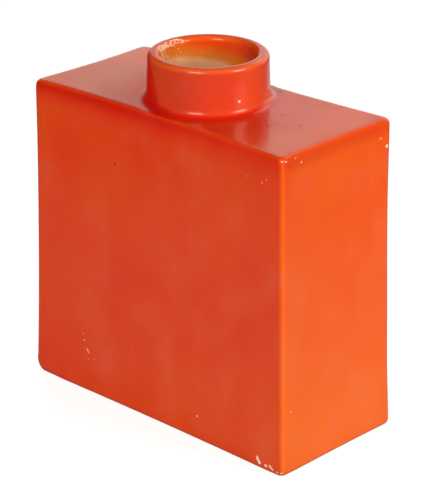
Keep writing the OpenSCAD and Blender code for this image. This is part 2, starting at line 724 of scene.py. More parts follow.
@dataclass(frozen=True)
class Mark:
    """A small blemish in the glaze.

    Attributes:
        kind: What it is.
        place: Its middle, in millimetres.
        radius: Its radius, in millimetres.
    """

    kind: MarkKind
    place: tuple[float, float, float]
    radius: float


@dataclass(frozen=True)
class Flake:
    """The stretch inside the lip where the glaze has flaked away.

    Attributes:
        angle: Its direction, in degrees about the axis.
        spread: Half the angle that it covers, in degrees.
        core: Share of that angle up to which it is fullest.
        low: Height where it begins, in millimetres.
        depth: How deep it reaches, in millimetres.
        reach: How far it reaches over the lip, as a share of the lip's radius.
        crest: Heights from the rim over which the lip is flaked more.
        heart_turn: Angles from its direction over which it gets flaked more, in degrees.
        heart_rise: Height over which that part begins, in millimetres.
        shares: How much is flaked all over, more at the crest and more at the heart.
        turn_slant: How the streaks follow the angle, along and across themselves.
        rise_slant: How they follow the height, along and across themselves.
        streak_layer: Layer of the noise that they are taken from.
        streak_shape: Their fineness, the step between their octaves and the octaves.
        streaks: Strength of the streaks.
        crumbs: Strength of the crumbs.
        crumb_length: Size of the crumbs, in millimetres.
        edge: Values over which the clay begins to show.
        side_edge: How quickly the flaking fades at the sides.
    """

    angle: float = 190.0
    spread: float = 36.0
    core: float = 0.5
    low: float = 171.5
    depth: float = 0.30
    reach: float = 0.7
    crest: Span = (-3.4, -1.2)
    heart_turn: Span = (-6.0, 14.0)
    heart_rise: float = 3.0
    shares: tuple[float, float, float] = (0.26, 0.30, 0.26)
    turn_slant: tuple[float, float] = (0.22, -0.10)
    rise_slant: tuple[float, float] = (0.5, 1.1)
    streak_layer: float = 3.0
    streak_shape: tuple[float, float, int] = (0.8, 2.1, 4)
    streaks: float = 0.50
    crumbs: float = 0.26
    crumb_length: float = 1.0 / 1.9
    edge: Span = (0.40, 0.66)
    side_edge: float = 3.0

    def share(self, point: Vector, neck: Neck) -> float:
        """Return how far the glaze has flaked away at a point.

        Args:
            point: The point, in millimetres.
            neck: The neck.

        Returns:
            The share that is bare, 0 to 1.
        """
        if point.z < self.low or point.to_2d().length > neck.bore + self.reach * neck.lip:
            return 0.0
        turn = math.degrees(math.atan2(point.y, point.x)) - self.angle
        turn = (turn + HALF_TURN) % FULL_TURN - HALF_TURN
        sides = 1.0 - smooth(abs(turn), self.core * self.spread, self.spread)
        crest = smooth(point.z - neck.rim, *self.crest)
        heart = smooth(turn, *self.heart_turn) * smooth(point.z - self.low, 0.0, self.heart_rise)
        slants = zip(self.turn_slant, self.rise_slant)
        along, across = (turn * by_turn + point.z * by_rise for by_turn, by_rise in slants)
        streaks = noise.fractal(Vector((along, across, self.streak_layer)), *self.streak_shape)
        crumbs = noise.noise(point / self.crumb_length)
        even, at_crest, at_heart = self.shares
        share = sides * (even + at_crest * crest + at_heart * heart)
        share += self.streaks * streaks + self.crumbs * crumbs
        return smooth(share, *self.edge) * min(1.0, sides * self.side_edge)


@dataclass(frozen=True)
class Wear:
    """What years of use have left on the glaze: chips, a flaked lip, pinholes and pits.

    Attributes:
        chips: Flakes lost from the foot's front edge.
        marks: Small blemishes that the finish paints.
        flake: The flaked stretch of the lip.
    """

    chips: tuple[Chip, ...] = (
        Chip((69.2, -39.6, 5.9), (71.0, -39.7, 3.4), 0.72, 0.45),
        Chip((74.7, -39.8, 3.7), (75.3, -39.7, 3.5), 0.62, 0.40),
        Chip((77.2, -39.8, 4.3), (79.3, -39.6, 3.0), 0.55, 0.40),
        Chip((82.0, -39.6, 2.6), (82.4, -39.4, 2.5), 0.42, 0.30),
        Chip((84.0, -38.9, 2.9), (84.3, -38.6, 3.0), 0.58, 0.35),
    )
    marks: tuple[Mark, ...] = (
        # The first three are pale spots where the lamps' glints fall: one on the neck and two at the
        # shoulder's near corner.
        Mark(MarkKind.PINHOLE, (28.2, -8.6, 164.9), 0.65),
        Mark(MarkKind.PINHOLE, (80.6, -37.2, 156.4), 0.30),
        Mark(MarkKind.PINHOLE, (81.5, -35.6, 156.2), 0.50),
        Mark(MarkKind.PINHOLE, (81.2, -24.9, 153.2), 0.50),
        Mark(MarkKind.PINHOLE, (81.3, -28.8, 156.2), 0.26),
        Mark(MarkKind.PINHOLE, (69.4, -38.0, 143.7), 0.36),
        Mark(MarkKind.PINHOLE, (81.9, 34.3, 145.1), 0.85),
        Mark(MarkKind.PINHOLE, (81.6, 30.1, 149.9), 0.42),
        Mark(MarkKind.PINHOLE, (84.3, -33.0, 32.7), 0.34),
        Mark(MarkKind.PINHOLE, (-50.0, -38.6, 31.1), 0.30),
        Mark(MarkKind.PINHOLE, (-49.2, -38.7, 28.0), 0.42),
        Mark(MarkKind.PINHOLE, (-47.2, -38.7, 23.7), 0.42),
        Mark(MarkKind.PINHOLE, (-46.5, -38.7, 22.9), 0.46),
        Mark(MarkKind.PINHOLE, (-45.8, -38.7, 22.2), 0.42),
        Mark(MarkKind.PINHOLE, (-46.2, -38.8, 18.6), 0.32),
        Mark(MarkKind.PINHOLE, (-42.2, -38.7, 19.9), 0.28),
        Mark(MarkKind.PINHOLE, (29.3, -38.8, 13.3), 0.45),
        Mark(MarkKind.PINHOLE, (59.8, -37.5, 144.4), 0.22),
        Mark(MarkKind.PINHOLE, (72.0, -38.1, 145.9), 0.24),
        Mark(MarkKind.PINHOLE, (66.9, -37.8, 145.4), 0.20),
        Mark(MarkKind.PINHOLE, (45.4, -6.9, 158.0), 0.26),
        Mark(MarkKind.PINHOLE, (46.9, -11.8, 158.0), 0.24),
        Mark(MarkKind.PIT, (43.0, -5.8, 158.0), 0.40),
        Mark(MarkKind.PIT, (47.0, -10.4, 158.0), 0.38),
        Mark(MarkKind.PIT, (45.8, -5.2, 158.0), 0.34),
        Mark(MarkKind.PIT, (40.5, 6.2, 158.0), 0.42),
        Mark(MarkKind.PIT, (42.8, 5.4, 158.0), 0.75),
        Mark(MarkKind.PIT, (58.1, 0.1, 158.0), 0.70),
        Mark(MarkKind.PIT, (19.0, 29.8, 158.0), 0.95),
        Mark(MarkKind.PIT, (-26.9, -36.4, 127.2), 0.60),
    )
    flake: Flake = field(default_factory=Flake)

    def settle(self, mesh: bmesh.types.BMesh) -> list[Mark]:
        """Return the marks, each moved onto the shell's nearest point.

        Args:
            mesh: The shell, in millimetres.

        Returns:
            The marks in their places.
        """
        tree = BVHTree.FromBMesh(mesh)
        places = [tuple(tree.find_nearest(Vector(mark.place))[0]) for mark in self.marks]
        return [Mark(mark.kind, place, mark.radius) for mark, place in zip(self.marks, places)]

    def apply(self, skin: Skin, neck: Neck) -> None:
        """Press the chips and the flaked lip into the shell and mark them bare.

        Args:
            skin: The shell, with its normals worked out.
            neck: The neck.
        """
        layer = skin.layers[Layer.CHIP]
        for vert in skin.mesh.verts:
            point, normal = vert.co.copy(), vert.normal.copy()
            for chip in self.chips:
                share = chip.share(point)
                if share > 0.0:
                    vert.co -= normal * chip.depth * smooth(share, *chip.side)
                vert[layer] = max(vert[layer], smooth(share, *chip.border))
            flaked = self.flake.share(point, neck)
            if flaked > 0.0:
                vert.co -= normal * self.flake.depth * flaked
                vert[layer] = max(vert[layer], flaked)


@dataclass(frozen=True)
class Pattern:
    """A cloudy pattern.

    Attributes:
        size: Width of its patches, in millimetres.
        detail: Octaves of finer patches.
        rough: Strength of the finer patches.
    """

    size: float
    detail: float
    rough: float


class Value:
    """A number on a socket, whose arithmetic adds Math nodes."""

    def __init__(self, graph: "Graph", socket: bpy.types.NodeSocket) -> None:
        """Wrap an output socket of a graph."""
        self.graph, self.socket = graph, socket

    def _math(self, operation: str, *terms: "Value | float") -> "Value":
        """Return the result of one Math node."""
        made = self.graph.node("ShaderNodeMath", {"operation": operation}, dict(enumerate(terms)))
        return Value(self.graph, made.outputs[0])

    def __add__(self, other: "Value | float") -> "Value":
        """Return the sum."""
        return self._math("ADD", self, other)

    def __radd__(self, other: float) -> "Value":
        """Return the sum with a number on the left."""
        return self._math("ADD", other, self)

    def __sub__(self, other: "Value | float") -> "Value":
        """Return the difference."""
        return self._math("SUBTRACT", self, other)

    def __rsub__(self, other: float) -> "Value":
        """Return the difference from a number on the left."""
        return self._math("SUBTRACT", other, self)

    def __mul__(self, other: "Value | float") -> "Value":
        """Return the product."""
        return self._math("MULTIPLY", self, other)

    def __rmul__(self, other: float) -> "Value":
        """Return the product with a number on the left."""
        return self._math("MULTIPLY", other, self)

    def __or__(self, other: "Value | float") -> "Value":
        """Return the larger of two masks."""
        return self._math("MAXIMUM", self, other)

    def __and__(self, other: "Value | float") -> "Value":
        """Return the smaller of two masks."""
        return self._math("MINIMUM", self, other)

    def __abs__(self) -> "Value":
        """Return the value without its sign."""
        return self._math("ABSOLUTE", self)

    def eased(self, low: float, high: float) -> "Value":
        """Return the value eased between two ends.

        Args:
            low: Where the result is 0.
            high: Where it is 1, which may lie below.

        Returns:
            The eased value.
        """
        settings = {"interpolation_type": "SMOOTHSTEP"}
        sockets = {"Value": self, "From Min": min(low, high), "From Max": max(low, high),
                   "To Min": 0.0 if low < high else 1.0, "To Max": 1.0 if low < high else 0.0}
        return Value(self.graph, self.graph.node("ShaderNodeMapRange", settings, sockets).outputs[0])


Fed = Value | bpy.types.NodeSocket | float | Sequence[float]


class Graph:
    """A material's or the world's nodes."""

    def __init__(self, tree: bpy.types.NodeTree) -> None:
        """Start from an empty tree."""
        self.tree = tree
        tree.nodes.clear()

    def node(self, kind: str, settings: Mapping[str, Any] | None = None,
             sockets: Mapping[str | int, Fed] | None = None) -> bpy.types.Node:
        """Add one node.

        Args:
            kind: The node's type.
            settings: Its own settings, set before its sockets.
            sockets: Values or links of its inputs, by identifier, name or number.

        Returns:
            The new node.
        """
        made = self.tree.nodes.new(kind)
        for name, setting in (settings or {}).items():
            setattr(made, name, setting)
        for key, fed in (sockets or {}).items():
            if isinstance(key, int):
                socket = made.inputs[key]
            else:
                socket = next(slot for slot in made.inputs if key in (slot.identifier, slot.name))
            if isinstance(fed, Value):
                self.tree.links.new(fed.socket, socket)
            elif isinstance(fed, bpy.types.NodeSocket):
                self.tree.links.new(fed, socket)
            else:
                socket.default_value = fed
        return made

    def noise(self, place: bpy.types.NodeSocket, pattern: Pattern) -> Value:
        """Return a cloudy pattern.

        Args:
            place: Coordinates in millimetres.
            pattern: The pattern.

        Returns:
            The pattern's values, about 0.5 on average.
        """
        sockets = {"Vector": place, "Scale": 1.0 / pattern.size, "Detail": pattern.detail,
                   "Roughness": pattern.rough}
        return Value(self, self.node("ShaderNodeTexNoise", None, sockets).outputs[0])

    def attribute(self, layer: Layer) -> Value:
        """Return one of the shell's own attributes."""
        return Value(self, self.node("ShaderNodeAttribute", {"attribute_name": layer.value}).outputs["Fac"])

    def mix(self, share: Fed, first: Fed, second: Fed) -> bpy.types.NodeSocket:
        """Return a colour between two.

        Args:
            share: Share of the second colour.
            first: The first colour.
            second: The second colour.

        Returns:
            The colour's socket.
        """
        paints = [(*paint, 1.0) if isinstance(paint, tuple) else paint for paint in (first, second)]
        made = self.node("ShaderNodeMix", {"data_type": "RGBA", "clamp_factor": True},
                         {"Factor_Float": share, "A_Color": paints[0], "B_Color": paints[1]})
        return next(slot for slot in made.outputs if slot.identifier == "Result_Color")

    def vector(self, operation: str, *terms: Fed) -> bpy.types.Node:
        """Return a Vector Math node."""
        return self.node("ShaderNodeVectorMath", {"operation": operation}, dict(enumerate(terms)))


@dataclass(frozen=True)
class Patterns:
    """The cloudy patterns that the finish is painted by.

    Attributes:
        cloud: Broad patches.
        haze: Finer clouds.
        smear: Clouds drawn out upright.
        smear_stretch: How the coordinates are scaled for those.
        grain: Speckle.
        peel: Soft waves of the glaze's surface.
        dust: Finest speckle.
        bloom_haze: Values of the finer clouds over which age has clouded the gloss.
        bloom_smear: Values of the upright clouds over which it is clouded twice as much.
        stir_size: Size of the stirring that makes marks ragged, in millimetres.
        stir: How far it moves them, in millimetres.
    """

    cloud: Pattern = Pattern(55.0, 3.0, 0.5)
    haze: Pattern = Pattern(26.0, 6.0, 0.62)
    smear: Pattern = Pattern(14.0, 4.0, 0.6)
    smear_stretch: tuple[float, float, float] = (1.0, 1.0, 0.35)
    grain: Pattern = Pattern(1.1, 3.0, 0.6)
    peel: Pattern = Pattern(3.6, 1.0, 0.4)
    dust: Pattern = Pattern(0.45, 1.0, 0.5)
    bloom_haze: Span = (0.44, 0.72)
    bloom_smear: Span = (0.38, 0.66)
    stir_size: float = 1.0 / 1.4
    stir: float = 0.9


@dataclass(frozen=True)
class Clay:
    """Fired earthenware where no glaze covers it.

    Attributes:
        raw: Colour of the dry body inside the neck and under the foot.
        fresh: Colour of a new break.
        stain: Colour of the dust and water marks on the dry body.
        stain_strength: Strength of those marks.
        stain_haze: Values of the finer clouds over which they show.
        bare: Values of the shell's bare share over which the clay shows.
        chip: Values of the shell's chipped share over which a break shows.
        crumbs: How ragged a break's border is.
        mouth_crumbs: How much more ragged it is inside the mouth.
        mouth_age: How much of the dry body's colour a break inside the mouth has.
        age: How much of it the grains of other breaks have.
        age_grain: Values of the speckle over which those grains show.
        roughness: Roughness of the dry body.
    """

    raw: Colour = (0.86, 0.46, 0.235)
    fresh: Colour = (0.93, 0.70, 0.58)
    stain: Colour = (0.52, 0.30, 0.15)
    stain_strength: float = 0.55
    stain_haze: Span = (0.4, 0.75)
    bare: Span = (0.35, 0.65)
    chip: Span = (0.35, 0.6)
    crumbs: float = 0.35
    mouth_crumbs: float = 0.75
    mouth_age: float = 0.8
    age: float = 0.3
    age_grain: Span = (0.4, 0.7)
    roughness: float = 0.9


@dataclass(frozen=True)
class Glaze:
    """Glossy orange glaze: redder where it is thick, more orange where it is thin, clouded with age.

    A coat's thinness runs from 0 for its red to 1 for its orange. Where it has run together it turns
    from there to its deep colour, again from 0 to 1. Much of the red and the deep colour is painted
    shade and painted reflection, and some of the orange is painted light.

    Attributes:
        deep: Deep red, for coat pooled in the cove and for painted shade and painted reflections.
        red: Colour of a thick coat.
        orange: Colour of a thin coat.
        bloom_and_sheen: Colour of the clouded patches, a pale pink that paints a sheen on them.
        wash: Colour of the last sprayed mist inside the bore.
        pit: Colour of a dark pit.
        shaded_side: Side of the neck turned away from the end lamp, in degrees about the axis.
        reflection_side: Side of the neck towards the camera, where its reflection is painted on the
            shoulder, in degrees.
        thinness: How thin the coat is half way up the broad walls.
        end_thinning: How much thinner it is on the end walls.
        foot_painted_light: How much more orange an end wall gets from the shoulder down to its foot, a
            painted light.
        edge_thinning: How much thinner it is on the upright edges and the lip.
        top_thinning: How much thinner it is on the flat of the shoulder and on the neck.
        neck_thinning: How much thinner still it is on the neck.
        shaded_flank_reddening: How much of that is lost on the neck's shaded side, a painted shade.
        streak_reddening: How much more is lost on the slanted streak at its edge.
        edge_shade_red: How much redder it is just under the shoulder's edge, a painted shade.
        even_edge_shade: Share of that painted shade at the right of a broad wall.
        cove_pool_and_shade_red: How much redder it is in the cove, partly pooled coat and partly painted
            shade.
        cloud_change: How much the broad patches change the thinness.
        smear_change: How much the upright clouds change it.
        grain_change: How much the speckle changes it.
        streak_share: Share of the neck's shaded side that is its slanted streak.
        streak_slant: How much wider that streak gets per millimetre below the rim.
        broad_edge_shade: How deep the painted shade is under the shoulder's edge of the broad walls.
        end_edge_shade: How deep it is there on the end walls.
        neck_reflection_deep: How deep the neck's painted reflection on the shoulder is.
        cove_pool_and_shade: How deep it is round the cove, partly pooled coat and partly painted shade.
        cove_shaded_side_deep: How much deeper it is there on the shaded side.
        ring_pool_and_shade: How deep it is in the cove itself, partly pooled coat and partly painted shade.
        ring_shaded_side_deep: How much deeper it is there on the shaded side.
        cove_loss: How much of both is lost beyond the neck on that side.
        mouth_shade: How deep the painted shade is inside the mouth.
        neck_shade: How deep the painted shade is on the neck.
        left_loss: How much of that is lost on its shaded side.
        streak_loss: How much more is lost on its slanted streak.
        right_loss: How much is lost on its lit side.
        edge_loss: Share of all that deep colour that is lost on rounded edges.
        crest_loss: Share of it that is lost on the shoulder's edge.
        clouding: Strength of the clouded patches' colour, a painted sheen.
        neck_sheen: Share of that painted sheen that covers the neck evenly.
        pit_strength: Strength of the pits' colour.
        spray_tilt: How much lower the sprayed coat reaches on one side of the bore than on the other.
        spray_side: Direction of its lower side, in degrees about the axis.
        spray_rag: How ragged its edge is by clouds, speckle and finest speckle, in millimetres.
        wash_span: Heights in the bore over which the coat turns into a mist.
        dry_span: Heights in the bore over which the mist ends on bare clay.
        roughness: Roughness of the colour's own broad sheen.
        bloom_roughness: How much rougher the clouded patches are.
        grain_roughness: How much the speckle changes the roughness.
        sheen: Strength of that sheen.
        gloss: Strength of the clear gloss over it.
        bloom_dulling: How much of the gloss the clouded patches lose.
        pit_dulling: Share of it that the pits lose.
        wash_dulling: Share of it that the mist loses.
        side_dulling: Share of it that the shoulder loses on the neck's shaded side.
        gloss_roughness: Roughness of the clear gloss.
        refraction: Refractive index.
    """

    deep: Colour = (0.550, 0.004, 0.001)
    red: Colour = (0.740, 0.012, 0.002)
    orange: Colour = (0.860, 0.130, 0.006)
    bloom_and_sheen: Colour = (0.740, 0.200, 0.150)
    wash: Colour = (0.760, 0.210, 0.022)
    pit: Colour = (0.250, 0.020, 0.008)
    shaded_side: float = 223.6
    reflection_side: float = 313.6
    thinness: float = 0.35
    end_thinning: float = 0.30
    foot_painted_light: float = 0.26
    edge_thinning: float = 0.22
    top_thinning: float = 0.06
    neck_thinning: float = 0.34
    shaded_flank_reddening: float = 0.14
    streak_reddening: float = 0.55
    edge_shade_red: float = 0.28
    even_edge_shade: float = 0.55
    cove_pool_and_shade_red: float = 0.30
    cloud_change: float = 0.50
    smear_change: float = 0.22
    grain_change: float = 0.08
    streak_share: float = 0.45
    streak_slant: float = 0.2
    broad_edge_shade: float = 0.50
    end_edge_shade: float = 0.34
    neck_reflection_deep: float = 0.60
    cove_pool_and_shade: float = 0.72
    cove_shaded_side_deep: float = 0.22
    ring_pool_and_shade: float = 0.62
    ring_shaded_side_deep: float = 0.28
    cove_loss: float = 0.45
    mouth_shade: float = 0.95
    neck_shade: float = 0.72
    left_loss: float = 0.18
    streak_loss: float = 0.17
    right_loss: float = 0.2
    edge_loss: float = 0.55
    crest_loss: float = 0.7
    clouding: float = 0.17
    neck_sheen: float = 0.4
    pit_strength: float = 0.85
    spray_tilt: float = 9.0
    spray_side: float = 35.0
    spray_rag: tuple[float, float, float] = (4.5, 2.6, 2.2)
    wash_span: Span = (178.0, 169.5)
    dry_span: Span = (170.6, 167.0)
    roughness: float = 0.50
    bloom_roughness: float = 0.16
    grain_roughness: float = 0.06
    sheen: float = 0.08
    gloss: float = 0.95
    bloom_dulling: float = 0.25
    pit_dulling: float = 0.5
    wash_dulling: float = 0.6
    side_dulling: float = 0.24
    gloss_roughness: float = 0.18
    refraction: float = 1.5


@dataclass(frozen=True)
class Relief:
    """Fine relief of the surface.

    Attributes:
        depth: Depth of a full step, in millimetres.
        peel: Share of that in the glaze's soft waves.
        haze: Share in the finer clouds.
        dust: Share in the finest speckle of bare clay.
        grain: Share in the speckle of bare clay.
        pinhole: Share in a pinhole.
        pit: Share in a dark pit.
    """

    depth: float = 0.5
    peel: float = 0.05
    haze: float = 0.02
    dust: float = 0.12
    grain: float = 0.10
    pinhole: float = 0.4
    pit: float = 0.5


@dataclass(frozen=True)
class Ground:
    """Coordinates in millimetres, and the patterns that the finish is painted by.

    Attributes:
        neck: The neck, from which heights and distances are measured.
        place: The coordinates together.
        x: Distance along the broad walls.
        y: Distance from the front wall towards the back.
        z: Height.
        reach: Distance from the axis.
        cloud: Broad patches.
        haze: Finer clouds.
        smear: Clouds drawn out upright.
        grain: Speckle.
        peel: Soft waves of the glaze's surface.
        dust: Finest speckle.
        bloom_and_sheen: Patches where age has clouded the gloss, whose colour paints a sheen.
        edge: How far a point lies on a rounded edge.
    """

    neck: Neck
    place: bpy.types.NodeSocket
    x: Value
    y: Value
    z: Value
    reach: Value
    cloud: Value
    haze: Value
    smear: Value
    grain: Value
    peel: Value
    dust: Value
    bloom_and_sheen: Value
    edge: Value

    def towards(self, angle: float) -> Value:
        """Return the distance from the axis towards a side, given in degrees about the axis."""
        turn = math.radians(angle)
        return math.cos(turn) * self.x + math.sin(turn) * self.y

    def height(self, *spans: Span) -> Value:
        """Return the mask of a zone by heights above the shoulder.

        Args:
            spans: The heights over which the zone fades in, one pair or one for each side.

        Returns:
            The mask.
        """
        masks = [self.z.eased(self.neck.base + low, self.neck.base + high) for low, high in spans]
        return reduce(mul, masks)

    def from_root(self, span: Span) -> Value:
        """Return the mask of a zone by distances from the neck's root."""
        return self.reach.eased(self.neck.root + span[0], self.neck.root + span[1])

    def from_bore(self, span: Span) -> Value:
        """Return the mask of a zone by distances from the bore's wall."""
        return self.reach.eased(self.neck.bore + span[0], self.neck.bore + span[1])


@dataclass(frozen=True)
class Masks:
    """Zones of the glaze, each 1 where it covers the vase and 0 elsewhere.

    Attributes:
        walled: All walls.
        ends: The end walls.
        broad: The broad walls.
        leftward: The left of the vase.
        edge_shaded: The broad walls under the shoulder's edge, where shade is painted.
        crest: The shoulder's rounded edge.
        coved: The shoulder and the foot of the cove.
        beyond: The part of the cove that is seen beside the neck on its shaded side.
        ring: The cove itself.
        neck_reflection: The shoulder in front of the neck, where its reflection is painted.
        necked: The neck's outside.
        mouth: The neck's inside.
        shaded_flank: The neck's side turned away from the end lamp.
        lit_flank: Its other side, which the lamps light.
        slant_streak: A slanted streak at the edge of its shaded side.
        shaded_flank_and_streak: Both of these together.
        under: The inside of the mouth towards the neck's lit side, where shade is painted.
        dulled: The shoulder beside the neck on its shaded side.
    """

    walled: Value
    ends: Value
    broad: Value
    leftward: Value
    edge_shaded: Value
    crest: Value
    coved: Value
    beyond: Value
    ring: Value
    neck_reflection: Value
    necked: Value
    mouth: Value
    shaded_flank: Value
    lit_flank: Value
    slant_streak: Value
    shaded_flank_and_streak: Value
    under: Value
    dulled: Value


@dataclass(frozen=True)
class Zones:
    """Spans over which the zones of the glaze fade in, from the end without to the end in full.

    Heights are above the shoulder and distances from the neck's root or the bore's wall, in
    millimetres. Shares are of the body's width, the neck's radius or the bore.

    Attributes:
        wall: Heights of the walls' upper end.
        turn: Half the width of the turn from a broad wall to an end.
        leftward: Shares of the width, from right to left.
        edge_shade_band: Heights of the redder painted shade on the broad walls.
        broad_edge_shade: Heights of the deeper painted shade on the broad walls.
        end_edge_shade: Heights of the painted shade on the end walls.
        crest: Heights of the shoulder's rounded edge, for its lower and upper side.
        cove: Distances of the cove's foot from the root.
        cove_rise: Its heights, for its lower and upper side.
        beyond: Distances from the root at which the cove shows beside the neck.
        ring: Heights of the cove itself, for its lower and upper side.
        neck_reflection: Distances of the neck's painted reflection from the root.
        neck_reflection_side: Its distances from the axis.
        neck_reflection_rise: Its heights, for its lower and upper side.
        neck: Heights of the neck's foot.
        outside: Distances of the neck's outside from the bore's wall.
        mouth: Heights of the mouth's foot.
        inside: Distances of the mouth from the bore's wall.
        left: Shares of the neck's radius on its shaded side.
        right: Shares of the neck's radius on its lit side.
        slant_streak: Shares of the neck's radius at its slanted streak.
        under: Shares of the bore towards the neck's lit side.
        dull: Distances of the duller shoulder from the root.
        dull_side: Its distances from the axis.
        flat: Heights of the flat shoulder.
        clouded_wall: Heights of the clouded walls.
        clouded_neck: Heights of the clouded neck.
        bore: Distances of the bore's own wall.
        bore_foot: Heights above the ceiling inside from which the bore's coat is painted.
        lip_inside: Distances of the mouth with its lip from the bore's wall.
        lip_foot: Heights of the mouth with its lip.
    """

    wall: Span = (-0.1, -1.5)
    turn: float = 0.9
    leftward: Span = (0.5, -0.25)
    edge_shade_band: Span = (-14.0, -2.0)
    broad_edge_shade: Span = (-7.0, -2.5)
    end_edge_shade: Span = (-10.0, -3.0)
    crest: tuple[Span, Span] = ((-1.3, -0.5), (0.0, -0.15))
    cove: Span = (11.0, 3.0)
    cove_rise: tuple[Span, Span] = ((-0.5, 0.0), (2.5, 0.5))
    beyond: Span = (-2.0, 1.0)
    ring: tuple[Span, Span] = ((0.0, 0.8), (4.5, 2.0))
    neck_reflection: Span = (42.0, 14.0)
    neck_reflection_side: Span = (-25.0, 5.0)
    neck_reflection_rise: tuple[Span, Span] = ((-1.5, -0.1), (2.0, 0.5))
    neck: Span = (0.4, 2.4)
    outside: Span = (1.0, 3.0)
    mouth: Span = (0.0, 2.0)
    inside: Span = (2.0, 0.5)
    left: Span = (0.45, 0.75)
    right: Span = (0.3, 0.75)
    slant_streak: Span = (0.915, 0.97)
    under: Span = (0.5, 1.0)
    dull: Span = (26.0, 4.0)
    dull_side: Span = (10.0, 30.0)
    flat: Span = (-1.5, -0.1)
    clouded_wall: Span = (-2.0, -16.0)
    clouded_neck: Span = (0.5, 3.0)
    bore: Span = (0.6, 0.2)
    bore_foot: Span = (0.0, 1.0)
    lip_inside: Span = (2.5, 1.5)
    lip_foot: Span = (0.0, 1.0)

    def masks(self, on: Ground, outline: Outline, glaze: Glaze) -> Masks:
        """Return the zones as masks.

        Args:
            on: Coordinates and patterns.
            outline: Plan of the body.
            glaze: The glaze, which has a thick side.

        Returns:
            The masks.
        """
        neck = on.neck
        walled = on.height(self.wall)
        gap = (outline.width - outline.depth) / 2
        lean = (outline.end_draft - outline.broad_draft) / outline.height
        ends = (abs(on.x) - abs(on.y) + on.z * lean).eased(gap - self.turn, gap + self.turn) * walled
        broad = walled * (1.0 - ends)
        leftward = on.x.eased(*(outline.width * share for share in self.leftward))
        uneven = glaze.even_edge_shade + (1.0 - glaze.even_edge_shade) * leftward
        # The neck's shaded side, turned away from the end lamp, and its lit side opposite.
        side, across = on.towards(glaze.shaded_side), on.towards(glaze.shaded_side + HALF_TURN)
        lowered = side + glaze.streak_slant * (neck.rim - on.z)
        slant_streak = lowered.eased(*(neck.radius * share for share in self.slant_streak))
        shaded_flank = side.eased(*(neck.radius * share for share in self.left))
        # The side of the shoulder towards the camera, where the neck's reflection is painted.
        spread = on.towards(glaze.reflection_side).eased(*self.neck_reflection_side)
        return Masks(
            walled=walled,
            ends=ends,
            broad=broad,
            leftward=leftward,
            edge_shaded=on.height(self.edge_shade_band) * broad * uneven,
            crest=on.height(*self.crest),
            coved=on.from_root(self.cove) * on.height(*self.cove_rise),
            beyond=side.eased(*(neck.root + distance for distance in self.beyond)),
            ring=on.height(*self.ring) * on.from_bore(self.outside),
            neck_reflection=on.from_root(self.neck_reflection) * spread * on.height(*self.neck_reflection_rise),
            necked=on.height(self.neck) * on.from_bore(self.outside),
            mouth=on.height(self.mouth) * on.from_bore(self.inside),
            shaded_flank=shaded_flank,
            lit_flank=across.eased(*(neck.radius * share for share in self.right)),
            slant_streak=slant_streak,
            shaded_flank_and_streak=(1.0 - glaze.streak_share) * shaded_flank + glaze.streak_share * slant_streak,
            under=across.eased(*(neck.bore * share for share in self.under)),
            dulled=on.from_root(self.dull) * side.eased(*self.dull_side) * on.height(self.flat),
        )


